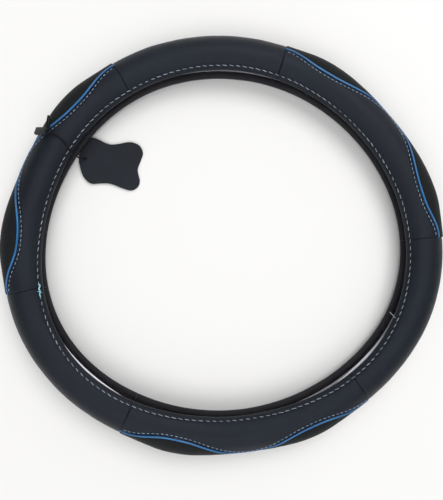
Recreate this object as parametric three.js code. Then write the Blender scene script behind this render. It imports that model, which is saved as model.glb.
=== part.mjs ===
// Steering wheel cover lying flat on a table, front side up, with its hang tag.
// Millimetres, +Z up. The origin is on the table under the middle of the ring.
import * as THREE from 'three';

// Ring: the tube's centreline is a soft oval, a little drawn out of round by the grips and by lying loose.
const RING_RADIUS = 170.7;
const RING_WAVES = [
  { times: 2, cos: 4.71, sin: 0.62 },
  { times: 3, cos: 1.24, sin: -1.88 },
  { times: 4, cos: 0.29, sin: 0.31 },
  { times: 5, cos: 0.22, sin: -0.5 },
];

// Tube section, from the outside in. The tube is flattened by SINK where it lies on the table, and pressed in
// by DENT over the tag string.
const TUBE = 18;
const SINK = 0.35;
const LEATHER = 1.3;
const GAP = 0.3;
const LINER = 1.9;
const CENTRE_Z = TUBE - SINK;
const LEATHER_IN = TUBE - LEATHER;
const LINER_OUT = LEATHER_IN - GAP;
const LINER_IN = LINER_OUT - LINER;
const HEM_OUT = LINER_IN - GAP;
const HEM_IN = HEM_OUT - LEATHER;
const FOLD_AT = (TUBE + HEM_IN) / 2;
const FOLD_OUT = TUBE - FOLD_AT;
const FOLD_IN = LEATHER_IN - FOLD_AT;

// The soft section is turned about the centreline by a few degrees, changing round the ring.
const TURN_WAVES_DEG = [
  { times: 1, cos: 3.67, sin: 0.77 },
  { times: 2, cos: -7, sin: -3.3 },
];

// Mouth of the rim channel between its two lips, and the hem folded in behind each lip.
const MOUTH = 11.1;
const HEM = 6.2;
// The front lip lies drawn back from the mouth by a few degrees, more or less round the ring.
const LIP_BACK_DEG = 3.8;
const LIP_WAVES_DEG = [
  { times: 1, cos: -4.8, sin: -5.3 },
  { times: 2, cos: 3.8, sin: 3.1 },
  { times: 3, cos: 0.8, sin: -5.5 },
  { times: 4, cos: -4, sin: -0.6 },
  { times: 5, cos: 0.3, sin: 1.6 },
  { times: 6, cos: -1, sin: 0.6 },
];

// Seams round the ring. Grips start at the even ones, plain parts at the odd ones.
const SEAMS_DEG = [1.8, 72.7, 122, 193.1, 240.1, 313.4];
const GRIP_STEPS = 22;
const PLAIN_STEPS = 8;

// Wavy edges of the outer inserts, as places round the section: at both ends, on both lobes' crests and at
// the waist. Each grip is sewn a little differently, and crestsAt are shares of half its length.
const FRONT_WAVE_DEG = [
  { ends: [122.5, 128], crests: [97, 106.5], waist: 152, crestsAt: [0.66, 0.62] },
  { ends: [133, 141], crests: [104, 94.5], waist: 160, crestsAt: [0.58, 0.61] },
  { ends: [138, 153], crests: [104.5, 113.5], waist: 158, crestsAt: [0.6, 0.52] },
];
const REAR_WAVE_DEG = { ends: [136, 136], crests: [121, 121], waist: 146, crestsAt: [0.59, 0.59] };
// How far an insert stands out at its waist, and how much more over the lobes of each grip
const WAIST_BULGE = 0.9;
const LOBE_BULGE = [1.6, 2.2, 2.1];

// Piping cord in the seam between insert and panels, and the rounded edges beside it.
const PIPING = 1.1;
const PIPING_SUNK = 0.05;
const PIPING_AT = TUBE - PIPING_SUNK;
const PIPING_ROOM = PIPING + GAP / 2;
const EDGE_DROP = 0.45;
const EDGE_BEVEL = 1.25;

// Foam under each lobe.
const FOAM_STEPS = 4;
const FOAM_FOOT = LINER_OUT + 0.35;

// Hang tag: string round the tube, clasp on it, hide-shaped leather tag at its end.
const STRING = 0.6;
const STRING_STEP = 8;
const DENT = 2 * STRING + 1.3 * GAP;
const DENT_STEPS = 0.9;
const STRING_SAG = 3.3;
const CLASP_LENGTH = 12.5;
const CLASP_WIDTH = 6.5;
const CLASP_THICKNESS = 2.6;
const CLASP_EDGE = 0.4;
const CLASP_DEG = 125;
const TAG = 1.8;
const TAG_EYE = 1.9;
const TAG_REACH = 55;
// Outline of the leather tag from its eye, cut like a hide with four legs.
const HIDE = [
  [7.8, 19], [20.3, 13.7], [27.3, 13.5], [36.8, 15.3], [42.8, 15.3], [49, 12.1], [51.7, 6], [50, -0.5],
  [47, -8.7], [47.7, -14.5], [48.9, -19.3], [47.7, -24.5], [43.6, -28], [39.1, -28.5], [32.1, -26.3],
  [22.3, -22.7], [14.1, -22.3], [6.1, -22.8], [1.5, -20.6], [-2.6, -15.4], [-4.9, -8.4], [-6.1, -0.9],
  [-4.8, 6.1], [-1.8, 13], [2.4, 17.5],
];

const leather = new THREE.MeshStandardMaterial({ color: 0x2b2e32, roughness: 0.55, metalness: 0 });
const insertLeather = new THREE.MeshStandardMaterial({ color: 0x2a2a2b, roughness: 0.6, metalness: 0 });
const blue = new THREE.MeshStandardMaterial({ color: 0x2d7dc8, roughness: 0.4, metalness: 0 });
const latex = new THREE.MeshStandardMaterial({ color: 0xdcdcd6, roughness: 0.7, metalness: 0 });
const foam = new THREE.MeshStandardMaterial({ color: 0x8c8c88, roughness: 0.95, metalness: 0 });
const cord = new THREE.MeshStandardMaterial({ color: 0x17181a, roughness: 0.8, metalness: 0 });
const plastic = new THREE.MeshStandardMaterial({ color: 0x3c413c, roughness: 0.45, metalness: 0 });
const tagLeather = new THREE.MeshStandardMaterial({ color: 0x2c2f34, roughness: 0.7, metalness: 0 });

const part = new THREE.Group();
part.name = 'steering_wheel_cover';

const toDeg = 180 / Math.PI;
const cosd = (deg) => Math.cos(deg / toDeg);
const sind = (deg) => Math.sin(deg / toDeg);
// Angle that an arc takes at a radius
const arcDeg = (arc, radius) => (arc / radius) * toDeg;
const spread = (from, to, steps) => Array.from({ length: steps + 1 }, (_, i) => from + ((to - from) * i) / steps);

// Places that follow from the sizes above, in degrees
const FOLD_DEG = Math.asin((MOUTH / 2 + FOLD_OUT) / FOLD_AT) * toDeg;
const HEM_DEG = arcDeg(HEM, HEM_IN);
const STRIP_DEG = Math.acos(CENTRE_Z / TUBE) * toDeg;
const SEAM_DEG = arcDeg(GAP / 2, RING_RADIUS);
const ROOM_DEG = arcDeg(PIPING_ROOM, TUBE);
const BEVEL_DEG = arcDeg(EDGE_BEVEL, TUBE);
const STRING_AT = SEAMS_DEG[2] + (STRING_STEP * (SEAMS_DEG[3] - SEAMS_DEG[2])) / GRIP_STEPS;

// Sum of waves round the ring at an angle, and its slope
function wavesAt(waves, deg) {
  return waves.reduce((sum, w) => sum + w.cos * cosd(w.times * deg) + w.sin * sind(w.times * deg), 0);
}

function wavesSlope(waves, deg) {
  const slopes = waves.map((w) => w.times * (w.sin * cosd(w.times * deg) - w.cos * sind(w.times * deg)));
  return slopes.reduce((sum, slope) => sum + slope, 0);
}

// A point of the section at an angle: u outward from the centreline, z above the table
function inSection(deg, u, z) {
  const r = RING_RADIUS + wavesAt(RING_WAVES, deg);
  const s = wavesSlope(RING_WAVES, deg);
  const nx = r * cosd(deg) + s * sind(deg);
  const ny = r * sind(deg) - s * cosd(deg);
  const n = Math.hypot(nx, ny);
  return new THREE.Vector3(r * cosd(deg) + (nx / n) * u, r * sind(deg) + (ny / n) * u, z);
}

// Places round a section are counted from the ring's inner side over the front, and this turns them
const turn = (deg) => wavesAt(TURN_WAVES_DEG, deg);

// The tube gives way over the tag string that passes under it
function givesWay(deg) {
  const reach = (DENT_STEPS * (SEAMS_DEG[3] - SEAMS_DEG[2])) / GRIP_STEPS;
  return DENT * Math.max(0, 1 - Math.abs(deg - STRING_AT) / reach);
}

// A point on a layer of the tube, flattened on the table
function onLayer(deg, round, radius) {
  const z = CENTRE_Z + radius * sind(round);
  return inSection(deg, -radius * cosd(round), Math.max(z, TUBE - radius + givesWay(deg)));
}

// Place round the section where a lip starts to fold; side is 1 at the front, -1 at the rear
function foldStart(deg, side) {
  if (side < 0) return 360 - FOLD_DEG + turn(deg);
  return FOLD_DEG + LIP_BACK_DEG + wavesAt(LIP_WAVES_DEG, deg) + turn(deg);
}

// A point of the half-round fold over a lip; bend runs from 0 outside to 180 inside
function onFold(deg, side, radius, bend) {
  const round = foldStart(deg, side);
  const out = FOLD_AT + radius * cosd(bend);
  const on = -side * radius * sind(bend);
  const u = -out * cosd(round) + on * sind(round);
  const w = out * sind(round) + on * cosd(round);
  return inSection(deg, u, CENTRE_Z + w);
}

function stationsOf(seam) {
  const steps = seam % 2 === 0 ? GRIP_STEPS : PLAIN_STEPS;
  const end = seam === 5 ? SEAMS_DEG[0] + 360 : SEAMS_DEG[seam + 1];
  return spread(SEAMS_DEG[seam] + SEAM_DEG, end - SEAM_DEG, steps);
}

// Closed body between two grids of points, one section per station
function slab(outside, inside, ring) {
  const rows = outside[0].length;
  const count = outside.length;
  const positions = [];
  const tri = (a, b, c) => positions.push(a.x, a.y, a.z, b.x, b.y, b.z, c.x, c.y, c.z);
  // Four corners in order, split along the shorter diagonal
  const quad = (a, b, c, d) => {
    const turned = b.distanceTo(d) < a.distanceTo(c);
    tri(a, b, turned ? d : c);
    tri(turned ? b : a, c, d);
  };
  for (let j = 0; j < (ring ? count : count - 1); j += 1) {
    const a = outside[j];
    const c = outside[(j + 1) % count];
    const b = inside[j];
    const d = inside[(j + 1) % count];
    for (let i = 0; i < rows - 1; i += 1) {
      quad(a[i], c[i], c[i + 1], a[i + 1]);
      quad(b[i], b[i + 1], d[i + 1], d[i]);
    }
    quad(a[0], b[0], d[0], c[0]);
    quad(a[rows - 1], c[rows - 1], d[rows - 1], b[rows - 1]);
  }
  if (!ring) {
    const [a, b, c, d] = [outside[0], inside[0], outside[count - 1], inside[count - 1]];
    for (let i = 0; i < rows - 1; i += 1) {
      quad(a[i], a[i + 1], b[i + 1], b[i]);
      quad(c[i], d[i], d[i + 1], c[i + 1]);
    }
  }
  return facingOut(positions);
}

// Geometry from loose triangles, turned so that its faces look outward
function facingOut(positions) {
  let volume = 0;
  for (let k = 0; k < positions.length; k += 9) {
    const [ax, ay, az, bx, by, bz, cx, cy, cz] = positions.slice(k, k + 9);
    volume += ax * (by * cz - bz * cy) + ay * (bz * cx - bx * cz) + az * (bx * cy - by * cx);
  }
  if (volume < 0) {
    for (let k = 0; k < positions.length; k += 9) {
      const b = positions.slice(k + 3, k + 6);
      const c = positions.slice(k + 6, k + 9);
      positions.splice(k + 3, 6, ...c, ...b);
    }
  }
  const geometry = new THREE.BufferGeometry();
  geometry.setAttribute('position', new THREE.Float32BufferAttribute(positions, 3));
  geometry.computeVertexNormals();
  return geometry;
}

function add(name, geometry, material) {
  const mesh = new THREE.Mesh(geometry, material);
  mesh.name = name;
  part.add(mesh);
}

// A chord between rows must not dip into the layer below, so inner rows stand off by this factor
function slack(rounds, i) {
  const before = i > 0 ? Math.abs(rounds[i] - rounds[i - 1]) : 0;
  const after = i < rounds.length - 1 ? Math.abs(rounds[i + 1] - rounds[i]) : 0;
  return 1 / cosd(Math.max(before, after) / 2);
}

// Outer layer of leather, with rows at the given places round the section
function layerRows(deg, rounds, drops, raise) {
  const outer = [];
  const inner = [];
  rounds.forEach((round, i) => {
    const outside = TUBE - drops[i];
    const within = Math.min(LEATHER_IN * slack(rounds, i), outside - LEATHER / 3);
    outer.push(onLayer(deg, round, outside + raise[i]));
    inner.push(onLayer(deg, round, within + raise[i]));
  });
  return { outer, inner };
}

const level = (rounds) => rounds.map(() => 0);
const droppedFirst = (rounds) => rounds.map((_, k) => (k === 0 ? EDGE_DROP : 0));

// Fold over a lip and the hem behind it, from the outer layer inward
function lipRows(deg, side) {
  const start = foldStart(deg, side);
  const outer = [60, 120].map((bend) => onFold(deg, side, FOLD_OUT, bend));
  const inner = [60, 120].map((bend) => onFold(deg, side, FOLD_IN, bend));
  for (const round of spread(start, start + side * HEM_DEG, 2)) {
    outer.push(onLayer(deg, round, HEM_IN));
    inner.push(onLayer(deg, round, HEM_OUT));
  }
  return { outer, inner };
}

// Share of the way up a lobe: 1 on its crest, 0 at the waist and at the end of the grip
function lobe(across, crestAt) {
  const u = Math.abs(across);
  const away = u < crestAt ? (crestAt - u) / crestAt : (u - crestAt) / (1 - crestAt);
  return 0.5 + 0.5 * Math.cos(Math.PI * away ** 1.2);
}

function wave(shape, across) {
  const half = across < 0 ? 0 : 1;
  const low = Math.abs(across) > shape.crestsAt[half] ? shape.ends[half] : shape.waist;
  return low + (shape.crests[half] - low) * lobe(across, shape.crestsAt[half]);
}

const acrossOf = (i) => (2 * i) / GRIP_STEPS - 1;
const frontLine = (seam, across) => wave(FRONT_WAVE_DEG[seam / 2], across);
const rearLine = (across) => 360 - wave(REAR_WAVE_DEG, across);

// Liner: a C all the way round, open to the ring's inner side
function linerRing() {
  const outside = [];
  const inside = [];
  const short = arcDeg(GAP, FOLD_AT);
  SEAMS_DEG.forEach((_, seam) => {
    stationsOf(seam).slice(0, -1).forEach((deg) => {
      const rounds = spread(foldStart(deg, 1) + short, foldStart(deg, -1) - short, 10);
      outside.push(rounds.map((round) => onLayer(deg, round, LINER_OUT)));
      inside.push(rounds.map((round, i) => onLayer(deg, round, LINER_IN * slack(rounds, i))));
    });
  });
  return slab(outside, inside, true);
}

// Plain parts: one leather wrap from lip to lip, folded over both
function plainWrap(seam) {
  const outside = [];
  const inside = [];
  stationsOf(seam).forEach((deg) => {
    const rounds = [
      ...spread(foldStart(deg, 1), 270 - STRIP_DEG, 10),
      ...spread(270 + STRIP_DEG, foldStart(deg, -1), 2),
    ];
    const layer = layerRows(deg, rounds, level(rounds), level(rounds));
    const front = lipRows(deg, 1);
    const rear = lipRows(deg, -1);
    outside.push([...front.outer.reverse(), ...layer.outer, ...rear.outer]);
    inside.push([...front.inner.reverse(), ...layer.inner, ...rear.inner]);
  });
  return slab(outside, inside, false);
}

// Grip panels: from a lip to the wavy piping line
function gripPanel(seam, side, roundsAt) {
  const outside = [];
  const inside = [];
  stationsOf(seam).forEach((deg, i) => {
    const rounds = roundsAt(deg, acrossOf(i));
    const layer = layerRows(deg, rounds, droppedFirst(rounds), level(rounds));
    const lip = lipRows(deg, side);
    outside.push([...layer.outer, ...lip.outer]);
    inside.push([...layer.inner, ...lip.inner]);
  });
  return slab(outside, inside, false);
}

function frontPanel(seam) {
  return gripPanel(seam, 1, (deg, across) => {
    const edge = frontLine(seam, across) - ROOM_DEG;
    return [edge, ...spread(edge - BEVEL_DEG, foldStart(deg, 1), 7)];
  });
}

function rearPanel(seam) {
  return gripPanel(seam, -1, (deg, across) => {
    const edge = rearLine(across) + ROOM_DEG;
    return [
      edge,
      ...spread(edge + BEVEL_DEG, 270 - STRIP_DEG, 2),
      ...spread(270 + STRIP_DEG, foldStart(deg, -1), 3),
    ];
  });
}

// Insert on the outside of a grip, bulging over the lobes
function insertRounds(seam, across) {
  const from = frontLine(seam, across) + ROOM_DEG;
  const to = rearLine(across) - ROOM_DEG;
  return [from, ...spread(from + BEVEL_DEG, to - BEVEL_DEG, 5), to];
}

// How far the middle of an insert stands out of the tube
function bulgeAt(seam, across) {
  const crestAt = FRONT_WAVE_DEG[seam / 2].crestsAt[across < 0 ? 0 : 1];
  return WAIST_BULGE + LOBE_BULGE[seam / 2] * lobe(across, crestAt) ** 2;
}

function insertRaise(seam, rounds, across) {
  const bulge = bulgeAt(seam, across);
  const width = rounds[rounds.length - 1] - rounds[0];
  return rounds.map((round) => bulge * Math.max(0, Math.sin((Math.PI * (round - rounds[0])) / width)) ** 0.8);
}

function outerInsert(seam) {
  const outside = [];
  const inside = [];
  stationsOf(seam).forEach((deg, i) => {
    const rounds = insertRounds(seam, acrossOf(i));
    const drops = rounds.map((_, k) => (k === 0 || k === rounds.length - 1 ? EDGE_DROP : 0));
    const layer = layerRows(deg, rounds, drops, insertRaise(seam, rounds, acrossOf(i)));
    outside.push(layer.outer);
    inside.push(layer.inner);
  });
  return slab(outside, inside, false);
}

// Foam pad under a lobe of the insert
function foamPad(seam, lobeSide) {
  const stations = stationsOf(seam);
  const outside = [];
  const inside = [];
  const crestAt = FRONT_WAVE_DEG[seam / 2].crestsAt[lobeSide < 0 ? 0 : 1];
  const middle = Math.round((GRIP_STEPS * (1 + lobeSide * crestAt)) / 2);
  for (let i = middle - FOAM_STEPS / 2; i <= middle + FOAM_STEPS / 2; i += 1) {
    const all = insertRounds(seam, acrossOf(i));
    const raise = insertRaise(seam, all, acrossOf(i)).slice(2, 6);
    const rounds = all.slice(2, 6);
    outside.push(rounds.map((round, k) => onLayer(stations[i], round, LINER_OUT + raise[k])));
    inside.push(rounds.map((round, k) => onLayer(stations[i], round, FOAM_FOOT * slack(rounds, k))));
  }
  return slab(outside, inside, false);
}

// Round cord along a line of points, with a sideways direction at each
function cordAlong(points, upwards, radius, sides, ring) {
  const count = points.length;
  const sections = points.map((point, j) => {
    const before = points[ring ? (j + count - 1) % count : Math.max(j - 1, 0)];
    const after = points[ring ? (j + 1) % count : Math.min(j + 1, count - 1)];
    const along = after.clone().sub(before).normalize();
    const side = along.clone().cross(upwards[j]).normalize();
    const up = side.clone().cross(along).normalize();
    return Array.from({ length: sides }, (_, k) => {
      const a = (k * 2 * Math.PI) / sides;
      const out = side.clone().multiplyScalar(radius * Math.cos(a));
      return out.addScaledVector(up, radius * Math.sin(a)).add(point);
    });
  });
  const half = sides / 2;
  const outside = sections.map((s) => s.slice(0, half));
  const inside = sections.map((s) => s.slice(half).reverse());
  return slab(outside, inside, ring);
}

function pipingCord(seam, front) {
  const points = [];
  const upwards = [];
  stationsOf(seam).forEach((deg, i) => {
    const round = front ? frontLine(seam, acrossOf(i)) : rearLine(acrossOf(i));
    const point = inSection(deg, -PIPING_AT * cosd(round), CENTRE_Z + PIPING_AT * sind(round));
    points.push(point);
    upwards.push(point.clone().sub(inSection(deg, 0, CENTRE_Z)).normalize());
  });
  return cordAlong(points, upwards, PIPING, 8, false);
}

// Hang tag: the string lies on the table, passes up through the leather tag's eye and back over the tube
const EYE_U = -(TUBE + STRING_SAG);
const OVER_TUBE = TUBE + GAP + STRING;
const OVER_GRIP = Math.max(PIPING_AT + PIPING, TUBE + bulgeAt(2, acrossOf(STRING_STEP))) + GAP + STRING;
const ON_TABLE = 1.15 * STRING;

function tagString() {
  const over = (round, radius) => [-radius * cosd(round), CENTRE_Z + radius * sind(round)];
  const path = [
    [EYE_U / 2, ON_TABLE], [EYE_U + 4, ON_TABLE], [EYE_U + 1.3, ON_TABLE + 0.1], [EYE_U, ON_TABLE + 1.8],
    [EYE_U - 0.1, ON_TABLE + 6.5], [EYE_U + 1, CENTRE_Z - 2.5], over(14, OVER_TUBE + 0.2), over(35, OVER_TUBE),
    over(60, OVER_TUBE), over(82, OVER_TUBE + 0.3), over(103, OVER_GRIP - 0.2), over(124, OVER_GRIP + 0.1),
    over(146, OVER_GRIP), over(170, OVER_GRIP), over(195, OVER_GRIP), over(213, OVER_GRIP),
    over(230, OVER_GRIP + 1.1), over(246, OVER_GRIP), [4, ON_TABLE], [-4, ON_TABLE],
  ];
  const curve = new THREE.CatmullRomCurve3(
    path.map(([u, z]) => inSection(STRING_AT, u, Math.max(z, ON_TABLE))), true, 'centripetal');
  const points = curve.getSpacedPoints(56).slice(0, -1);
  const across = inSection(STRING_AT, 1, 0).sub(inSection(STRING_AT, 0, 0));
  const sideways = new THREE.Vector3(-across.y, across.x, 0);
  return cordAlong(points, points.map(() => sideways), STRING, 6, true);
}

// Flat clasp with rounded corners, lying on the string over the tube's outer shoulder
function tagClasp() {
  const x = CLASP_LENGTH / 2;
  const y = CLASP_WIDTH / 2;
  const corner = CLASP_WIDTH * 0.3;
  const shape = new THREE.Shape();
  shape.moveTo(-x + corner, -y);
  shape.lineTo(x - corner, -y);
  shape.quadraticCurveTo(x, -y, x, -y + corner);
  shape.lineTo(x, y - corner);
  shape.quadraticCurveTo(x, y, x - corner, y);
  shape.lineTo(-x + corner, y);
  shape.quadraticCurveTo(-x, y, -x, y - corner);
  shape.lineTo(-x, -y + corner);
  shape.quadraticCurveTo(-x, -y, -x + corner, -y);
  const depth = CLASP_THICKNESS - 2 * CLASP_EDGE;
  const geometry = new THREE.ExtrudeGeometry(shape, {
    depth, bevelEnabled: true, bevelSize: CLASP_EDGE, bevelOffset: -CLASP_EDGE,
    bevelThickness: CLASP_EDGE, bevelSegments: 1, curveSegments: 3,
  });
  geometry.translate(0, 0, -depth / 2);
  geometry.rotateZ((180 - STRING_AT) / toDeg);
  geometry.rotateY((CLASP_DEG - 90) / toDeg);
  geometry.rotateZ(STRING_AT / toDeg);
  const out = OVER_GRIP + STRING + GAP + CLASP_THICKNESS / 2;
  const middle = inSection(STRING_AT, -out * cosd(CLASP_DEG), CENTRE_Z + out * sind(CLASP_DEG));
  geometry.translate(middle.x, middle.y, middle.z);
  return geometry;
}

// Leather tag, its far end on the table and its eye lifted by the string below it
function tagHide() {
  const outline = new THREE.CatmullRomCurve3(HIDE.map(([x, y]) => new THREE.Vector3(x, y, 0)), true);
  const points = outline.getSpacedPoints(44).slice(0, -1);
  const shape = new THREE.Shape(points.map((p) => new THREE.Vector2(p.x, p.y)));
  const eye = spread(0, 315, 7).map((a) => new THREE.Vector2(TAG_EYE * cosd(a), TAG_EYE * sind(a)));
  shape.holes.push(new THREE.Path(eye));
  const geometry = new THREE.ExtrudeGeometry(shape, { depth: TAG, bevelEnabled: false });
  const position = geometry.getAttribute('position');
  const lift = ON_TABLE + STRING + GAP;
  for (let i = 0; i < position.count; i += 1) {
    const out = position.getX(i) * cosd(STRING_AT) + position.getY(i) * sind(STRING_AT);
    position.setZ(i, position.getZ(i) + (lift * (out + TAG_REACH)) / TAG_REACH);
  }
  const at = inSection(STRING_AT, EYE_U, 0);
  geometry.translate(at.x, at.y, 0);
  geometry.computeVertexNormals();
  return geometry;
}

add('liner_ring', linerRing(), latex);
[1, 3, 5].forEach((seam, k) => add(`plain_wrap_${k + 1}`, plainWrap(seam), leather));
[0, 2, 4].forEach((seam, k) => {
  add(`grip_front_panel_${k + 1}`, frontPanel(seam), leather);
  add(`grip_rear_panel_${k + 1}`, rearPanel(seam), leather);
  add(`grip_outer_insert_${k + 1}`, outerInsert(seam), insertLeather);
  add(`front_piping_${k + 1}`, pipingCord(seam, true), blue);
  add(`rear_piping_${k + 1}`, pipingCord(seam, false), blue);
  add(`lobe_foam_${k + 1}a`, foamPad(seam, -1), foam);
  add(`lobe_foam_${k + 1}b`, foamPad(seam, 1), foam);
});
add('tag_string', tagString(), cord);
add('tag_clasp', tagClasp(), plastic);
add('tag_hide', tagHide(), tagLeather);

export default part;
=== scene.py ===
import math

import bpy
import numpy as np
from mathutils import Matrix, Vector


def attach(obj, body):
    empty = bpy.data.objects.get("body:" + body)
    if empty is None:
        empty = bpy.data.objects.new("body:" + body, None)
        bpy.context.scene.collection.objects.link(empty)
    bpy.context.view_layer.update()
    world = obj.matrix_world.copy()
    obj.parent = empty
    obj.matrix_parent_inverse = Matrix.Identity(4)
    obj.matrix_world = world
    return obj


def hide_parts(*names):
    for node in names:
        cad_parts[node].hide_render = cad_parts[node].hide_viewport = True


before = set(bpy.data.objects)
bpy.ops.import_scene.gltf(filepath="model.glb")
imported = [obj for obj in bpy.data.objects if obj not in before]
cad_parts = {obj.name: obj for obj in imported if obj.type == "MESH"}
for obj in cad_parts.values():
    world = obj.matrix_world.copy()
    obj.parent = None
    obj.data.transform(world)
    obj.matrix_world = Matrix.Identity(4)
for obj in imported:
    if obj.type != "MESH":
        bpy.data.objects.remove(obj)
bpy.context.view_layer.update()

# Sizes of the cover, in millimetres and degrees, as in the part's source
RING_RADIUS = 170.7
RING_WAVES = [(2, 4.71, 0.62), (3, 1.24, -1.88), (4, 0.29, 0.31), (5, 0.22, -0.5)]
TUBE, SINK, LEATHER, GAP, LINER = 18, 0.35, 1.3, 0.3, 1.9
CENTRE_Z = TUBE - SINK
LEATHER_IN = TUBE - LEATHER
LINER_OUT = LEATHER_IN - GAP
LINER_IN = LINER_OUT - LINER
HEM_OUT = LINER_IN - GAP
HEM_IN = HEM_OUT - LEATHER
FOLD_AT = (TUBE + HEM_IN) / 2
FOLD_OUT = TUBE - FOLD_AT
FOLD_IN = LEATHER_IN - FOLD_AT
MOUTH, HEM = 11.1, 6.2
TURN_WAVES = [(1, 3.67, 0.77), (2, -7, -3.3)]
LIP_BACK, FRONT_WAVER, REAR_WAVER = 3.8, 0.35, 0.4
LIP_WAVES = [(1, -4.8, -5.3), (2, 3.8, 3.1), (3, 0.8, -5.5), (4, -4, -0.6), (5, 0.3, 1.6), (6, -1, 0.6)]
SEAMS = [1.8, 72.7, 122, 193.1, 240.1, 313.4, 361.8]
# Wavy edges of the inserts, for each grip: degrees round the section at the two ends, at the two crests
# and at the waist, and how far along each half of the grip its crest stands
FRONT_WAVE = [
    ((122.5, 128), (97, 106.5), 152, (0.66, 0.62)),
    ((133, 141), (104, 94.5), 160, (0.58, 0.61)),
    ((138, 153), (104.5, 113.5), 158, (0.6, 0.52)),
]
REAR_WAVE = ((136, 136), (121, 121), 146, (0.59, 0.59))
WAIST_BULGE = 0.9
LOBE_BULGE = [1.6, 2.2, 2.1]
PIPING, PIPING_SUNK, WAIST_SUNK, PIPING_SIDES = 1.1, 0.05, (1.1, 0.45, 0.7), 16
PIPING_AT = TUBE - PIPING_SUNK
PIPING_ROOM = PIPING + GAP / 2
# The liner's free edge: its two faces, how far it reaches back under the hem, and where it shows
EDGE_OUT, EDGE_IN, EDGE_DEG, EDGE_INSIDE, EDGE_LEAST = 12.55, 11.85, 22, 3.15, 0.4
EDGE_SHOWS, EDGE_HIDDEN = [(224, 4.4, 20), (319, 4.9, 16)], 3
# A sight line past the lip, from above the middle of the ring: its run outward and its height
SIGHT_RUN, SIGHT_SHIFT, SIGHT_TOWARD, SIGHT_HEIGHT = 157, 24, 212, 441
STRING, STRING_SAG = 0.6, 3.3
CLASP_SIZE, CLASP_CORNER, CLASP_EDGE = (12.5, 6.5, 2.6), 0.9, 0.5
CLASP_DEG, CLASP_TURN, CLASP_ASIDE = 125, 168, 0.75
CLASP_NOTCH = [(0, 1.0), (1.2, 0), (0, -1.0)]
TAG, TAG_REACH = 1.8, 55
HIDE = [
    (7.8, 19), (20.3, 13.7), (27.3, 13.5), (36.8, 15.3), (42.8, 15.3), (49, 12.1), (51.7, 6),
    (50, -0.5), (47, -8.7), (47.7, -14.5), (48.9, -19.3), (47.7, -24.5), (43.6, -28),
    (39.1, -28.5), (32.1, -26.3), (22.3, -22.7), (14.1, -22.3), (6.1, -22.8), (1.5, -20.6),
    (-2.6, -15.4), (-4.9, -8.4), (-6.1, -0.9), (-4.8, 6.1), (-1.8, 13), (2.4, 17.5),
]
SEAM_GAP = 0.03

MM = 0.001
DEG = math.pi / 180
ARC = TUBE * DEG
SEAM_DEG = SEAM_GAP / RING_RADIUS / DEG
STRING_STEP = (SEAMS[3] - SEAMS[2]) / 22
STRING_AT = SEAMS[2] + 8 * STRING_STEP
FOLD_DEG = math.asin((MOUTH / 2 + FOLD_OUT) / FOLD_AT) / DEG
HEM_DEG = HEM / HEM_IN / DEG

# Rows of thread: distance from the lip or the piping, pitch, length of a dash, thickness and slant
LIP_ROW, LIP_PITCH, LIP_DASH, LIP_THREAD, LIP_SLANT = 3.1, 5.8, 4.4, 0.26, 0.16
PIPING_ROW, PIPING_PITCH, PIPING_DASH, PIPING_THREAD, PIPING_SLANT = 2.9, 4.0, 2.5, 0.27, 0.07
LIP_RADIUS = 158
THREAD_LIFT = 0.55

# How finely the skins are divided, and how many rows at the front and rear lips get a lighter leather,
# painted light for the shaded fold and hem
STATION, THINNEST = 1.35, 0.5
FOLD_BENDS, HEM_ROWS = 15, 5
WRAP_ROWS, PANEL_ROWS, INSERT_ROWS = 96, 46, 58
PAINTED_LIGHT_ROWS = {1: 6, -1: 14}
LINER_SECTIONS, LINER_ROWS, LINER_SPAN = 560, 40, 296
RIBS, RIB = 90, 0.12


def cosd(a):
    return np.cos(np.asarray(a) * DEG)


def sind(a):
    return np.sin(np.asarray(a) * DEG)


def waves_at(waves, deg):
    return sum(a * cosd(k * deg) + b * sind(k * deg) for k, a, b in waves)


def waves_slope(waves, deg):
    return sum(k * (b * cosd(k * deg) - a * sind(k * deg)) for k, a, b in waves)


def in_section(deg, u, z):
    """Points at u outward from the centreline and z above the table, in millimetres."""
    deg, u, z = np.broadcast_arrays(np.asarray(deg, float), u, z)
    r, s = RING_RADIUS + waves_at(RING_WAVES, deg), waves_slope(RING_WAVES, deg)
    nx, ny = r * cosd(deg) + s * sind(deg), r * sind(deg) - s * cosd(deg)
    n = np.hypot(nx, ny)
    return np.stack([r * cosd(deg) + nx / n * u, r * sind(deg) + ny / n * u, z], -1)


def turn(deg):
    """How far the soft section is turned about its own centre, in degrees."""
    return waves_at(TURN_WAVES, deg)


def gives_way(deg):
    """How far the underside lifts off the table where the string passes below it."""
    near = 1 - np.abs(np.asarray(deg) - STRING_AT) / (0.9 * STRING_STEP)
    return (2 * STRING + 1.3 * GAP) * np.maximum(0, near)


def on_tube(deg, round_, radius):
    """Points on a layer of the tube, flattened where it lies on the table."""
    z = CENTRE_Z + radius * sind(round_)
    lowest = np.maximum(TUBE - radius, 0.02) + gives_way(deg)
    return in_section(deg, -radius * cosd(round_), np.maximum(z, lowest))


def waver(deg, seed):
    """A slow smooth wobble round the ring, about -1 to 1."""
    rng = np.random.default_rng(seed)
    total = 0
    for k in (5, 8, 13, 21, 34):
        total = total + rng.uniform(0.5, 1) * np.sin(k * np.asarray(deg) * DEG + rng.uniform(0, 6.3))
    return total / 2.4


def fold_start(deg, side):
    """Where the leather folds over at the front lip (side 1) or the rear lip (side -1)."""
    if side > 0:
        return FOLD_DEG + LIP_BACK + waves_at(LIP_WAVES, deg) + turn(deg) + FRONT_WAVER * waver(deg, 1)
    return 360 - FOLD_DEG + turn(deg) + REAR_WAVER * waver(deg, 2)


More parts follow.
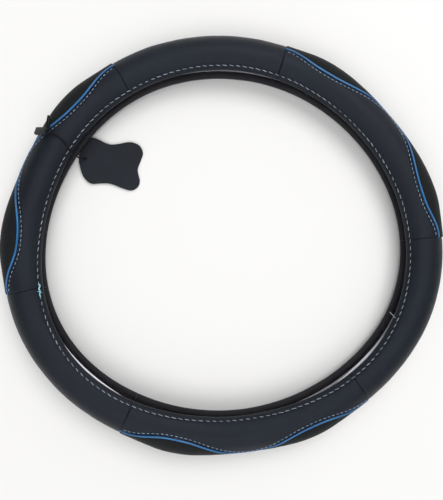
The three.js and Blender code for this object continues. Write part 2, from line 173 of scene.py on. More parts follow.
def on_fold(deg, side, radius, bend):
    """Points round the fold at a lip, bent from 0 on the tube to 180 on the hem."""
    round_ = fold_start(deg, side)
    out = FOLD_AT + radius * cosd(bend)
    on = -side * radius * sind(bend)
    u = -out * cosd(round_) + on * sind(round_)
    w = out * sind(round_) + on * cosd(round_)
    return in_section(deg, u, CENTRE_Z + w)


def lobe(across, crests_at):
    """Share of the way up a lobe: 1 on its crest, 0 at the waist and at the end of the grip."""
    u = np.abs(across)
    crest_at = np.where(across < 0, *crests_at)
    off = np.where(u < crest_at, (crest_at - u) / crest_at, (u - crest_at) / (1 - crest_at))
    return 0.5 + 0.5 * np.cos(np.pi * np.clip(off, 0, 1) ** 1.2)


def bulge_at(seam, across):
    """How far the insert stands out at a place along the grip."""
    return WAIST_BULGE + LOBE_BULGE[seam // 2] * lobe(across, FRONT_WAVE[seam // 2][3]) ** 2


def wave(shape, across):
    """Degrees round the section of a wavy edge."""
    ends, crests, waist, crests_at = shape
    past = np.abs(across) > np.where(across < 0, *crests_at)
    low = np.where(past, np.where(across < 0, *ends), waist)
    return low + (np.where(across < 0, *crests) - low) * lobe(across, crests_at)


def across_of(deg, seam):
    """Place along a grip, from -1 at its first seam to 1 at its last."""
    first, last = SEAMS[seam] + SEAM_DEG, SEAMS[seam + 1] - SEAM_DEG
    return 2 * (deg - first) / (last - first) - 1


def front_line(deg, seam):
    return wave(FRONT_WAVE[seam // 2], across_of(deg, seam))


def rear_line(deg, seam):
    return 360 - wave(REAR_WAVE, across_of(deg, seam))


# How the leather lies: dips at the stitches, rolls at seams, and is never quite even
SWELL_LENGTHS = (70, 52, 38, 30, 22, 17, 12, 9)
SEAM_DROP, SEAM_ROLL = 0.5, 1.1
EDGE_DROP, PANEL_ROLL, INSERT_ROLL = 0.45, 1.25, 1.1
LIP_GROOVE, LIP_PLUMP, HEM_PLUMP, HEM_WIDTH = 0.42, 0.14, 0.22, 3.4
PIPING_GROOVE, PANEL_SWELL, WAIST_SWELL = 0.3, 0.16, 0.16
WAIST_FROM, WAIST_SPAN = 135, 17


def unevenness(deg, round_, seed):
    """Slow swells and hollows of the leather, in millimetres."""
    rng = np.random.default_rng(seed)
    x = np.asarray(deg) * DEG * RING_RADIUS
    y = np.asarray(round_) * ARC
    total = 0
    for length in SWELL_LENGTHS:
        a = rng.uniform(0, np.pi)
        k = 2 * np.pi / length
        total = total + length * np.sin(k * (x * np.cos(a) + y * np.sin(a)) + rng.uniform(0, 6.3))
    return total / 900


def dip(distance, width):
    """A smooth hump, 1 at distance 0."""
    return np.exp(-(distance / width) ** 2)


def away(deg, at):
    """Degrees round the ring from a place, between -180 and 180."""
    return (deg - at + 540) % 360 - 180


def seam_edge(deg, seam):
    """How far the leather turns down beside the seams at both ends of a panel."""
    first, last = SEAMS[seam] + SEAM_DEG, SEAMS[seam + 1] - SEAM_DEG
    near = np.minimum(deg - first, last - deg) * DEG * RING_RADIUS
    return SEAM_DROP * np.clip(1 - near / SEAM_ROLL, 0, 1) ** 2 - 0.06 * dip(near - 3, 1.6)


def lip_shape(deg, round_, side):
    """Height of the leather beside a lip: a stitched groove with a plump hem beyond it."""
    distance = side * (round_ - fold_start(deg, side)) * ARC - LIP_ROW
    pull = 0.75 + 0.25 * np.cos(2 * np.pi * np.asarray(deg) * DEG * LIP_RADIUS / LIP_PITCH)
    hem = HEM_PLUMP * np.clip(np.sin(np.pi * np.clip(-distance / HEM_WIDTH, 0, 1)), 0, 1)
    return hem - LIP_GROOVE * pull * dip(distance, 0.75) + LIP_PLUMP * dip(distance - 2.6, 1.3)


def edge_roll(distance, width):
    """How far an edge of leather rolls down beside the piping."""
    return EDGE_DROP * np.clip((PIPING_ROOM + width - distance) / width, 0, 1.05) ** 2


def piping_shape(distance, waist):
    """Height of the leather beside the piping: rolled edge, stitched groove and swell, fuller at a waist."""
    swell = (PANEL_SWELL + WAIST_SWELL * waist) * dip(distance - PIPING_ROW - 2.2, 1.4)
    return -edge_roll(distance, PANEL_ROLL) - PIPING_GROOVE * dip(distance - PIPING_ROW, 0.6) + swell


def waist_at(deg, seam):
    """1 where the wavy line runs low on the outside of the grip, 0 on the crests of the lobes."""
    return np.clip((front_line(deg, seam) - WAIST_FROM) / WAIST_SPAN, 0, 1)


def spaced(first, last, step):
    """Stations between two seams, closer together beside them."""
    turn_down = np.array([0, 0.12, 0.3, 0.55, 0.85, 1.2, 1.6]) / (RING_RADIUS * DEG)
    count = max(2, int(round((last - first) * DEG * RING_RADIUS / step)))
    middle = np.linspace(first + turn_down[-1], last - turn_down[-1], count)
    return np.concatenate([first + turn_down[:-1], middle, (last - turn_down[:-1])[::-1]])


def stations(seam):
    return spaced(SEAMS[seam] + SEAM_DEG, SEAMS[seam + 1] - SEAM_DEG, STATION)


# Meshes and lines
def add_object(name, data):
    obj = bpy.data.objects.new(name, data)
    bpy.context.scene.collection.objects.link(obj)
    return obj


def mesh_object(name, points, faces, smooth=True):
    mesh = bpy.data.meshes.new(name)
    mesh.from_pydata((np.asarray(points) * MM).tolist(), [], faces)
    mesh.validate()
    mesh.polygons.foreach_set("use_smooth", [smooth] * len(mesh.polygons))
    mesh.update()
    return add_object(name, mesh)


def grid_faces(sections, rows, start, closed, flip):
    i = np.arange(sections if closed else sections - 1)[:, None]
    j = np.arange(rows - 1)[None, :]
    a = start + i * rows + j
    b = start + ((i + 1) % sections) * rows + j
    quads = np.stack([a, b, b + 1, a + 1], -1).reshape(-1, 4)
    return (quads[:, ::-1] if flip else quads).tolist()


def shell(name, outside, inside, closed=False, flip=False):
    """A closed skin between two grids of points (section, row, xyz)."""
    sections, rows = outside.shape[:2]
    count = sections * rows
    faces = grid_faces(sections, rows, 0, closed, flip)
    faces += grid_faces(sections, rows, count, closed, not flip)
    for row in (0, rows - 1):
        for i in range(sections if closed else sections - 1):
            a, b = i * rows + row, ((i + 1) % sections) * rows + row
            quad = [a, a + count, b + count, b]
            faces.append(quad if (row == 0) != flip else quad[::-1])
    if not closed:
        for section in (0, sections - 1):
            base = section * rows
            for j in range(rows - 1):
                a, b = base + j, base + j + 1
                quad = [a, b, b + count, a + count]
                faces.append(quad if (section == 0) != flip else quad[::-1])
    points = np.concatenate([outside.reshape(-1, 3), inside.reshape(-1, 3)])
    return mesh_object(name, points, faces)


def frame_along(points, upward):
    """Directions sideways and upward at each point of a line."""
    along = np.gradient(points, axis=0)
    along /= np.linalg.norm(along, axis=1, keepdims=True)
    side = np.cross(along, upward)
    side /= np.linalg.norm(side, axis=1, keepdims=True)
    return side, np.cross(side, along)


def tube_rings(points, upward, radii, sides):
    side, up = frame_along(points, upward)
    a = np.arange(sides) * 2 * np.pi / sides
    radii = np.broadcast_to(radii, len(points))[:, None, None]
    around = side[:, None] * np.cos(a)[None, :, None] + up[:, None] * np.sin(a)[None, :, None]
    return points[:, None] + around * radii


def tube_faces(sections, sides, start):
    faces = []
    for i in range(sections - 1):
        for k in range(sides):
            a = start + i * sides + k
            b = start + i * sides + (k + 1) % sides
            faces.append([a, b, b + sides, a + sides])
    faces.append([start + k for k in range(sides)][::-1])
    faces.append([start + (sections - 1) * sides + k for k in range(sides)])
    return faces


def tube(name, points, upward, radii, sides=12):
    rings = tube_rings(points, upward, radii, sides)
    return mesh_object(name, rings.reshape(-1, 3), tube_faces(len(points), sides, 0))


def lengths_along(line):
    return np.concatenate([[0], np.cumsum(np.linalg.norm(np.diff(line, axis=0), axis=1))])


def sample(values, length, at):
    """Values given along a line, read at other lengths along it."""
    return np.stack([np.interp(at, length, values[:, k]) for k in range(values.shape[1])], 1)


def between(a, b, c, d, t):
    """A smooth curve from b to c, with a before it and d after it."""
    return 0.5 * (2 * b + (c - a) * t + (2 * a - 5 * b + 4 * c - d) * t ** 2
                  + (3 * b - a - 3 * c + d) * t ** 3)


def smooth_line(points, step):
    """A smooth line through points, sampled evenly."""
    p = np.asarray(points, float)
    p = np.concatenate([2 * p[:1] - p[1:2], p, 2 * p[-1:] - p[-2:-1]])
    t = np.linspace(0, 1, 24, endpoint=False)[:, None]
    curves = [between(*p[k - 1:k + 3], t) for k in range(1, len(p) - 2)]
    line = np.concatenate(curves + [p[-2:-1]])
    length = lengths_along(line)
    return sample(line, length, np.linspace(0, length[-1], max(6, int(length[-1] / step))))


def closed_curve(points, count):
    """A smooth closed line through points, sampled evenly."""
    p = np.asarray(points, float)
    t = np.linspace(0, 1, 16, endpoint=False)[:, None]
    curves = [between(*(p[(k + o) % len(p)] for o in (-1, 0, 1, 2)), t) for k in range(len(p))]
    line = np.concatenate(curves + [p[:1]])
    length = lengths_along(line)
    return sample(line, length, np.linspace(0, length[-1], count, endpoint=False))


def stitches(name, runs, pitch, dash, radius, slant, seed):
    """Dashes of thread along lines on the leather, each diving in at both ends."""
    rng = np.random.default_rng(seed)
    points, faces = [], []
    steps, sides = 9, 8
    t = np.linspace(-1, 1, steps)
    for line, normals in runs:
        length = lengths_along(line)
        total = length[-1]
        at = np.linspace(0, total, max(2, int(total / 0.4)))
        line, up = sample(line, length, at), sample(normals, length, at)
        up /= np.linalg.norm(up, axis=1, keepdims=True)
        side, _ = frame_along(line, up)
        count = int(total / pitch)
        for k in range(count):
            middle = (k + 0.5) * total / count + rng.uniform(-0.15, 0.15)
            where = middle + t * dash / 2 * rng.uniform(0.93, 1.05)
            places, upward, sideways = (sample(v, at, where) for v in (line, up, side))
            lean = slant * t * dash / 2 * rng.uniform(0.7, 1.2)
            lift = radius * (THREAD_LIFT - 1.5 * np.abs(t) ** 4)
            centre = places + upward * lift[:, None] + sideways * lean[:, None]
            radii = radius * (1 - 0.3 * np.abs(t) ** 3)
            rings = tube_rings(centre, upward, radii, sides)
            faces += tube_faces(steps, sides, len(points) * steps * sides)
            points.append(rings.reshape(-1, 3))
    return mesh_object(name, np.concatenate(points), faces)


# Materials
def nodes_of(name):
    """A new material, its node tree and its shader."""
    material = bpy.data.materials.new(name)
    material.use_nodes = True
    tree = material.node_tree
    return material, tree, tree.nodes["Principled BSDF"]


def node(tree, kind, **values):
    """A new node; values go to its inputs or, where it has none of that name, to its settings."""
    made = tree.nodes.new(kind)
    for key, value in values.items():
        if key in made.inputs:
            made.inputs[key].default_value = value
        else:
            setattr(made, key, value)
    return made


def rgb(r, g, b):
    """An sRGB colour, 0 to 255, as a linear one."""
    lin = [(c / 255 / 12.92) if c < 10 else ((c / 255 + 0.055) / 1.055) ** 2.4 for c in (r, g, b)]
    return (*lin, 1)


def coords(tree):
    return tree.nodes.new("ShaderNodeTexCoord").outputs["Object"]


def texture(tree, kind, scale, where, **values):
    made = node(tree, kind, Scale=scale, **values)
    tree.links.new(where, made.inputs["Vector"])
    return made


def ramp(tree, value, stops):
    """Colours for a value; stops are (value, colour), first the lowest and the highest."""
    made = tree.nodes.new("ShaderNodeValToRGB")
    elements = made.color_ramp.elements
    for k, (at, colour) in enumerate(stops):
        stop = elements[k] if k < 2 else elements.new(at)
        stop.position, stop.color = at, colour
    tree.links.new(value, made.inputs["Fac"])
    return made.outputs["Color"]


def tinted(tree, shader, value, low, high, dark, light):
    """Base colour from dark to light as a value goes from low to high."""
    colour = ramp(tree, value, [(low, dark), (high, light)])
    tree.links.new(colour, shader.inputs["Base Color"])


def spread_between(tree, value, low, high, to_low, to_high):
    made = node(tree, "ShaderNodeMapRange")
    for key, number in zip(("From Min", "From Max", "To Min", "To Max"), (low, high, to_low, to_high)):
        made.inputs[key].default_value = number
    tree.links.new(value, made.inputs["Value"])
    return made.outputs["Result"]


def bump(tree, shader, heights):
    """Chain of bumps, each (height output, strength, distance in metres)."""
    normal = None
    for height, strength, distance in heights:
        made = node(tree, "ShaderNodeBump", Strength=strength, Distance=distance)
        tree.links.new(height, made.inputs["Height"])
        if normal is not None:
            tree.links.new(normal, made.inputs["Normal"])
        normal = made.outputs["Normal"]
    tree.links.new(normal, shader.inputs["Normal"])


def leather_material(name, dark, light, grain, depth, rough, specular, tint):
    """Smooth leather: pebbled grain, pores, patchy tone, and polish that varies."""
    material, tree, shader = nodes_of(name)
    where = coords(tree)
    patches = texture(tree, "ShaderNodeTexNoise", 16, where, Detail=4, Roughness=0.6)
    mottle = texture(tree, "ShaderNodeTexNoise", 420, where, Detail=3, Roughness=0.65)
    cells = texture(tree, "ShaderNodeTexVoronoi", grain, where, feature="DISTANCE_TO_EDGE")
    pores = texture(tree, "ShaderNodeTexNoise", grain * 3.1, where, Detail=2)
    swell = texture(tree, "ShaderNodeTexNoise", 130, where, Detail=2)
    tone = node(tree, "ShaderNodeMath", operation="MULTIPLY_ADD")
    tone.inputs[1].default_value = 0.35
    tree.links.new(mottle.outputs["Fac"], tone.inputs[0])
    tree.links.new(patches.outputs["Fac"], tone.inputs[2])
    tinted(tree, shader, tone.outputs[0], 0.42, 0.95, dark, light)
    polish = spread_between(tree, patches.outputs["Fac"], 0.3, 0.7, rough - 0.05, rough + 0.06)
    tree.links.new(polish, shader.inputs["Roughness"])
    furrows = ramp(tree, cells.outputs["Distance"], [(0, (0, 0, 0, 1)), (0.16, (1, 1, 1, 1))])
    bump(tree, shader, [
        (swell.outputs["Fac"], 0.35, 0.0005),
        (furrows, 0.5, depth),
        (pores.outputs["Fac"], 0.35, depth * 0.6),
    ])
    shader.inputs["Specular IOR Level"].default_value = specular
    shader.inputs["Specular Tint"].default_value = tint
    return material


def thread_material(name, dark, light, twist, rough=0.7, sheen=0.15):
    """Twisted yarn: fine slanted ridges and small changes of tone."""
    material, tree, shader = nodes_of(name)
    where = coords(tree)
    tones = texture(tree, "ShaderNodeTexNoise", 260, where, Detail=3)
    tinted(tree, shader, tones.outputs["Fac"], 0.35, 0.68, dark, light)
    ridges = texture(tree, "ShaderNodeTexWave", twist, where, Distortion=2.5, bands_direction="DIAGONAL")
    fuzz = texture(tree, "ShaderNodeTexNoise", 5200, where, Detail=2)
    bump(tree, shader, [(ridges.outputs["Fac"], 0.5, 0.0002), (fuzz.outputs["Fac"], 0.4, 0.0001)])
    shader.inputs["Roughness"].default_value = rough
    shader.inputs["Specular IOR Level"].default_value = 0.3
    shader.inputs["Sheen Weight"].default_value = sheen
    return material


def piping_material():
    """Thin coated skin over a cord: glossy blue, with painted shade darkening its flanks and a painted
    highlight along its crown.
    """
    material, tree, shader = nodes_of("piping_blue")
    where = coords(tree)
    tones = texture(tree, "ShaderNodeTexNoise", 55, where, Detail=3)
    bright = ramp(tree, tones.outputs["Fac"], [(0.3, rgb(18, 98, 156)), (0.7, rgb(34, 124, 182))])
    flank = node(tree, "ShaderNodeAttribute", attribute_name="flank")
    # Painted shade: dark blue mixed in down the flanks, away from the crown
    colour = node(tree, "ShaderNodeMixRGB", Color2=rgb(5, 44, 84))
    tree.links.new(spread_between(tree, flank.outputs["Fac"], 0.03, 0.5, 0, 1), colour.inputs["Fac"])
    tree.links.new(bright, colour.inputs["Color1"])
    tree.links.new(colour.outputs["Color"], shader.inputs["Base Color"])
    skin = texture(tree, "ShaderNodeTexVoronoi", 1900, where, feature="DISTANCE_TO_EDGE")
    folds = texture(tree, "ShaderNodeTexNoise", 480, where, Detail=2)
    bump(tree, shader, [(folds.outputs["Fac"], 0.35, 0.0003), (skin.outputs["Distance"], 0.25, 0.00008)])
    rough = spread_between(tree, folds.outputs["Fac"], 0.3, 0.7, 0.3, 0.42)
    tree.links.new(rough, shader.inputs["Roughness"])
    shader.inputs["Specular IOR Level"].default_value = 0.5
    return material


def liner_material():
    """Off-white moulded rubber with a fine chalky surface."""
    material, tree, shader = nodes_of("liner_rubber")
    where = coords(tree)
    tones = texture(tree, "ShaderNodeTexNoise", 45, where, Detail=5, Roughness=0.65)
    tinted(tree, shader, tones.outputs["Fac"], 0.3, 0.7, rgb(236, 237, 244), rgb(250, 250, 254))
    pits = texture(tree, "ShaderNodeTexNoise", 900, where, Detail=3)
    bump(tree, shader, [(pits.outputs["Fac"], 0.5, 0.0003)])
    shader.inputs["Roughness"].default_value = 0.75
    return material


def clasp_material():
    """Dull dark moulded plastic with a fine satin texture."""
    material, tree, shader = nodes_of("clasp_plastic")
    where = coords(tree)
    tones = texture(tree, "ShaderNodeTexNoise", 300, where, Detail=4)
    tinted(tree, shader, tones.outputs["Fac"], 0.3, 0.7, rgb(20, 23, 22), rgb(33, 37, 36))
    satin = texture(tree, "ShaderNodeTexNoise", 3600, where, Detail=2)
    bump(tree, shader, [(satin.outputs["Fac"], 0.4, 0.0001)])
    shader.inputs["Roughness"].default_value = 0.5
    return material


LEATHER_LOOK = leather_material("leather_blue_black", rgb(10, 13, 19), rgb(20, 25, 34),
                                950, 0.00016, 0.44, 0.3, (0.8, 0.88, 1, 1))
INSERT_LOOK = leather_material("leather_soft_black", rgb(11, 12, 14), rgb(19, 21, 23),
                               1250, 0.0002, 0.62, 0.22, (0.92, 0.97, 1, 1))
TAG_LOOK = leather_material("leather_tag", rgb(21, 23, 28), rgb(38, 41, 49),
                            1000, 0.00012, 0.64, 0.25, (0.9, 0.95, 1, 1))
THREAD_LOOK = thread_material("thread_grey", rgb(138, 148, 160), rgb(192, 199, 208), 900)
# Painted light: a lighter grey leather on the folds and hems at the lips stands in for light reaching into
# the shaded lip channel
PAINTED_LIGHT_LIP_LOOK = leather_material("leather_painted_light", rgb(38, 37, 40), rgb(54, 53, 57),
                            700, 0.0003, 0.85, 0.15, (1, 1, 1, 1))
FINE_THREAD_LOOK = thread_material("thread_blue_grey", rgb(118, 150, 178), rgb(178, 200, 216), 1200)
KNOT_LOOK = thread_material("thread_pale_blue", rgb(120, 190, 220), rgb(185, 228, 240), 1100)
STRING_LOOK = thread_material("string_black", rgb(5, 5, 6), rgb(14, 14, 15), 800, 0.85, 0)
PIPING_LOOK = piping_material()
LINER_LOOK = liner_material()
CLASP_LOOK = clasp_material()


def finish_piece(obj, look, slot, *nodes):
    """Give a piece its look and its body, and hide the solids that it stands for; the slot argument is not
    used.
    """
    obj.data.materials.append(look)
    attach(obj, "root")
    if nodes:
        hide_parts(*nodes)
    return obj


# Leather parts
def lip_rows(deg, side):
    """The fold over a lip and its hem, outside and inside, from the outer layer inward."""
    start = fold_start(deg, side)
    bends = np.linspace(0, 180, FOLD_BENDS)[1:-1]
    crease = 0.14 * dip(bends - 14, 16) + 0.1 * dip(bends - 60, 30)
    outer = [on_fold(deg, side, FOLD_OUT + c, b) for b, c in zip(bends, crease)]
    inner = [on_fold(deg, side, FOLD_IN, b) for b in bends]
    for share in np.linspace(0, 1, HEM_ROWS):
        edge = 0.35 * np.clip(share - 0.75, 0, 1) * 4
        outer.append(on_tube(deg, start + side * HEM_DEG * share, HEM_IN + edge))
        inner.append(on_tube(deg, start + side * HEM_DEG * share, HEM_OUT))
    return outer, inner


def stacked(rows):
    return np.stack(rows, axis=1)


def paint_light_on_lips(piece, grid, first, last):
    """Give the first and last rows of a skin's outer grid a lighter leather: painted light that lightens the
    shaded fold and hem at a lip.
    """
    strips = grid.shape[1] - 1
    row = np.arange((grid.shape[0] - 1) * strips) % strips
    index = np.zeros(len(piece.data.polygons), np.int32)
    index[:len(row)] = (row < first) | (row >= strips - last)
    piece.data.materials.append(PAINTED_LIGHT_LIP_LOOK)
    piece.data.polygons.foreach_set("material_index", index)


def plain_wrap(seam, index):
    deg = stations(seam)
    first, last = fold_start(deg, 1), fold_start(deg, -1)
    outer, inner = [], []
    front_out, front_in = lip_rows(deg, 1)
    rear_out, rear_in = lip_rows(deg, -1)
    for share in np.linspace(0, 1, WRAP_ROWS):
        round_ = first + (last - first) * share
        height = lip_shape(deg, round_, 1) + lip_shape(deg, round_, -1)
        height = height + unevenness(deg, round_, 10 + seam) - seam_edge(deg, seam)
        outer.append(on_tube(deg, round_, TUBE + height))
        inner.append(on_tube(deg, round_, LEATHER_IN))
    outer = stacked(front_out[::-1] + outer + rear_out)
    inner = stacked(front_in[::-1] + inner + rear_in)
    piece = shell(f"leather_plain_{index}", outer, inner, flip=True)
    finish_piece(piece, LEATHER_LOOK, "leather", f"plain_wrap_{index}")
    paint_light_on_lips(piece, outer, PAINTED_LIGHT_ROWS[1], PAINTED_LIGHT_ROWS[-1])


def slope_of(deg, line):
    """Length of the wavy line for each millimetre round the ring."""
    return np.sqrt(1 + (np.gradient(line * ARC, deg * DEG * (RING_RADIUS + 4))) ** 2)


def grip_panel(seam, index, side):
    deg = stations(seam)
    line = front_line(deg, seam) if side > 0 else rear_line(deg, seam)
    steep = slope_of(deg, line)
    edge = line - side * PIPING_ROOM * steep / ARC
    lip = fold_start(deg, side)
    outer, inner = [], []
    lip_out, lip_in = lip_rows(deg, side)
    for share in np.linspace(0, 1, PANEL_ROWS) ** 1.15:
        round_ = edge + (lip - edge) * share
        distance = side * (line - round_) * ARC / steep
        height = piping_shape(distance, waist_at(deg, seam)) + lip_shape(deg, round_, side)
        height = height + unevenness(deg, round_, 30 + seam + side) - seam_edge(deg, seam)
        outer.append(on_tube(deg, round_, TUBE + height))
        inner.append(on_tube(deg, round_, np.minimum(LEATHER_IN, TUBE + height - THINNEST)))
    outer, inner = stacked(outer + lip_out), stacked(inner + lip_in)
    word = "front" if side > 0 else "rear"
    piece = shell(f"leather_grip_{word}_{index}", outer, inner, flip=side < 0)
    finish_piece(piece, LEATHER_LOOK, "leather", f"grip_{word}_panel_{index}")
    paint_light_on_lips(piece, outer, 0, PAINTED_LIGHT_ROWS[side])


def outer_insert(seam, index):
    deg = stations(seam)
    front, rear = front_line(deg, seam), rear_line(deg, seam)
    steep_front, steep_rear = slope_of(deg, front), slope_of(deg, rear)
    first = front + PIPING_ROOM * steep_front / ARC
    last = rear - PIPING_ROOM * steep_rear / ARC
    bulge = bulge_at(seam, across_of(deg, seam))
    outer, inner = [], []
    even = np.linspace(0, 1, INSERT_ROWS)
    for share in 0.45 * (0.5 - 0.5 * np.cos(np.pi * even)) + 0.55 * even:
        round_ = first + (last - first) * share
        raised = bulge * max(0.0, math.sin(math.pi * share)) ** 0.8
        near = np.minimum(round_ - front, rear - round_) * ARC
        uneven = unevenness(deg, round_, 50 + seam) * min(1, 6 * share, 6 * (1 - share))
        height = raised - edge_roll(near, INSERT_ROLL) + uneven
        height = height - seam_edge(deg, seam)
        outer.append(on_tube(deg, round_, TUBE + height))
        inner.append(on_tube(deg, round_, np.minimum(LEATHER_IN + raised, TUBE + height - THINNEST)))
    piece = shell(f"leather_insert_{index}", stacked(outer), stacked(inner), flip=True)
    finish_piece(piece, INSERT_LOOK, "insert_leather", f"grip_outer_insert_{index}",
                 f"lobe_foam_{index}a", f"lobe_foam_{index}b")


def radial(deg, round_):
    """Outward direction of the section at a place round it."""
    return in_section(deg, -cosd(round_), sind(round_)) - in_section(deg, 0 * deg, 0 * deg)


def piping(seam, index, front):
    """A cord beside the insert, sunk between the leathers at its ends and at the waist of the grip."""
    deg = spaced(SEAMS[seam] + 4 * SEAM_DEG, SEAMS[seam + 1] - 4 * SEAM_DEG, 1.5)
    line = front_line(deg, seam) if front else rear_line(deg, seam)
    near = np.minimum(deg - deg[0], deg[-1] - deg) * DEG * RING_RADIUS
    sunk = 0.5 * np.clip(1 - near / 3, 0, 1) ** 2
    if front:
        sunk = sunk + WAIST_SUNK[seam // 2] * waist_at(deg, seam)
    at = PIPING_AT - sunk
    points = in_section(deg, -at * cosd(line), CENTRE_Z + at * sind(line))
    radii = PIPING * (1 - 0.1 * np.clip(1 - near / 1.2, 0, 1) ** 2) + 0.02 * waver(deg * 6, seam)
    word = "front" if front else "rear"
    piece = tube(f"piping_{word}_{index}", points, radial(deg, line), radii, PIPING_SIDES)
    # Painted shade: 0 on the crown, 1 at the sides, 2 underneath; darkens the piping's flanks
    painted_shade_off_crown = 1 - np.sin(2 * np.pi * np.arange(PIPING_SIDES) / PIPING_SIDES)
    flank = piece.data.attributes.new("flank", "FLOAT", "POINT")
    flank.data.foreach_set("value", np.tile(painted_shade_off_crown, len(deg)))
    finish_piece(piece, PIPING_LOOK, "piping", f"{word}_piping_{index}")


def liner():
    """The rubber ring under the leather, thinned at its edges and ribbed inside."""
    deg = np.arange(0, 360, 360 / LINER_SECTIONS)
    short = GAP / FOLD_AT / DEG
    first, last = fold_start(deg, 1) + short, fold_start(deg, -1) - short
    outer, inner = [], []
    for share in np.linspace(0, 1, LINER_ROWS):
        round_ = first + (last - first) * share
        end = min(share, 1 - share) * LINER_SPAN * ARC
        thin = 0.55 * max(0.0, 1 - end / 1.2) ** 2
        ribs = RIB * np.maximum(0, np.sin(np.radians(deg * RIBS))) * min(1.0, end / 8)
        outer.append(on_tube(deg, round_, LINER_OUT - thin))
        inner.append(on_tube(deg, round_, LINER_IN + thin - ribs))
    piece = shell("liner_rubber_ring", stacked(outer), stacked(inner), closed=True, flip=True)
    finish_piece(piece, LINER_LOOK, "liner", "liner_ring")


def liner_edge():
    """The liner's thin free edge inside the front hem, which shows past the lip in two places."""
    deg = np.arange(0, 360, 360 / LINER_SECTIONS)
    start = fold_start(deg, 1)
    shows = sum(high * dip(away(deg, at), wide) for at, high, wide in EDGE_SHOWS) - EDGE_HIDDEN
    lean = (SIGHT_RUN - SIGHT_SHIFT * cosd(deg - SIGHT_TOWARD)) / SIGHT_HEIGHT
    reach = EDGE_INSIDE * (cosd(start) - lean * sind(start)) + FOLD_OUT * np.sqrt(1 + lean ** 2) + shows
    reach = np.maximum(reach / (sind(start) + lean * cosd(start)), EDGE_LEAST)
    outer, inner = [], []
    for share in np.linspace(0, 1, 5):
        outer.append(on_tube(deg, start + EDGE_DEG * (1 - share), EDGE_OUT))
        inner.append(on_tube(deg, start + EDGE_DEG * (1 - share), EDGE_IN))
    for share in np.linspace(0.2, 1, 6):
        thin = 0.15 * (share == 1)
        for rows, radius in ((outer, EDGE_OUT - thin), (inner, EDGE_IN + thin)):
            u = -radius * cosd(start) - share * reach * sind(start)
            z = CENTRE_Z + radius * sind(start) - share * reach * cosd(start)
            rows.append(in_section(deg, u, z))
    piece = shell("liner_rubber_edge", stacked(outer), stacked(inner), closed=True)
    finish_piece(piece, LINER_LOOK, "liner")


for index, seam in enumerate((1, 3, 5), 1):
    plain_wrap(seam, index)
for index, seam in enumerate((0, 2, 4), 1):
    grip_panel(seam, index, 1)
    grip_panel(seam, index, -1)
    outer_insert(seam, index)
    piping(seam, index, True)
    piping(seam, index, False)
liner()
liner_edge()


# Seams of thread
def lip_run(side):
    """The line of the stitches beside a lip, with the leather's outward directions."""
    deg = np.linspace(0, 360, 1200)
    round_ = fold_start(deg, side) + side * LIP_ROW / ARC
    return on_tube(deg, round_, TUBE - 0.33 + 0 * deg), radial(deg, round_)


def piping_run(seam, front):
    deg = np.linspace(SEAMS[seam] + 0.5, SEAMS[seam + 1] - 0.5, 400)
    line = front_line(deg, seam) if front else rear_line(deg, seam)
    side = 1 if front else -1
    round_ = line - side * PIPING_ROW * slope_of(deg, line) / ARC
    return on_tube(deg, round_, TUBE - 0.24 + 0 * deg), radial(deg, round_)


for word, side in (("front", 1), ("rear", -1)):
    row = stitches(f"lip_stitches_{word}", [lip_run(side)],
                   LIP_PITCH, LIP_DASH, LIP_THREAD, LIP_SLANT, 3 + side)
    finish_piece(row, THREAD_LOOK, "leather")
for word, front in (("front", True), ("rear", False)):
    runs = [piping_run(seam, front) for seam in (0, 2, 4)]
    row = stitches(f"piping_stitches_{word}", runs,
                   PIPING_PITCH, PIPING_DASH, PIPING_THREAD, PIPING_SLANT, 7 + front)
    finish_piece(row, FINE_THREAD_LOOK, "leather")


# Loose ends of thread
def thread_piece(name, points, radius, look, slot="leather"):
    """A length of thread through points, thinner at its ends."""
    line = smooth_line(points, 0.35)
    up = np.tile([0.0, 0.0, 1.0], (len(line), 1))
    ends = np.minimum(np.arange(len(line)), np.arange(len(line))[::-1])
    radii = radius * np.clip(0.55 + 0.15 * ends, 0, 1)
    return finish_piece(tube(name, line, up, radii, 8), look, slot)


def thread_end(name, places, radius, look):
    """A tail of thread lying on the leather; places are (degrees round the ring, mm from the row, height)."""
    deg, off, high = (np.array([p[k] for p in places], float) for k in range(3))
    round_ = fold_start(deg, 1) + (LIP_ROW + off) / ARC
    return thread_piece(name, on_tube(deg, round_, TUBE + high), radius, look)


thread_end("thread_knot_tail", [(191.6, 0.2, 0.1), (192.4, -0.6, 0.7), (193.2, 0.5, 0.5),
                                (194.1, -0.3, 0.6), (194.9, 0.5, 0.4), (195.8, 0.1, 0.3)], 0.55, KNOT_LOOK)
thread_end("thread_knot_loop", [(193.9, 1.9, 0.25), (194.1, 0.8, 0.9), (194.4, -0.6, 0.7),
                                (194.6, -1.7, 0.3)], 0.42, KNOT_LOOK)
thread_piece("thread_tail_right", in_section(
    np.array([336.2, 336.5, 337.0, 337.4]), np.array([-12.6, -14.4, -16.3, -17.2]),
    np.array([29.9, 28.6, 25.0, 21.0])), 0.3, THREAD_LOOK)

# Hang tag
EYE_U = -(TUBE + STRING_SAG)
OVER_TUBE = TUBE + GAP + STRING
OVER_GRIP = max(PIPING_AT + PIPING, TUBE + float(bulge_at(2, across_of(STRING_AT, 2)))) + GAP + STRING
ON_TABLE = 1.15 * STRING
EYE = in_section(STRING_AT, EYE_U, 0.0)


def over(round_, radius, along=0.0):
    """A place of the string: outward and up in the section, and along the ring."""
    return (-radius * math.cos(round_ * DEG), CENTRE_Z + radius * math.sin(round_ * DEG), along)


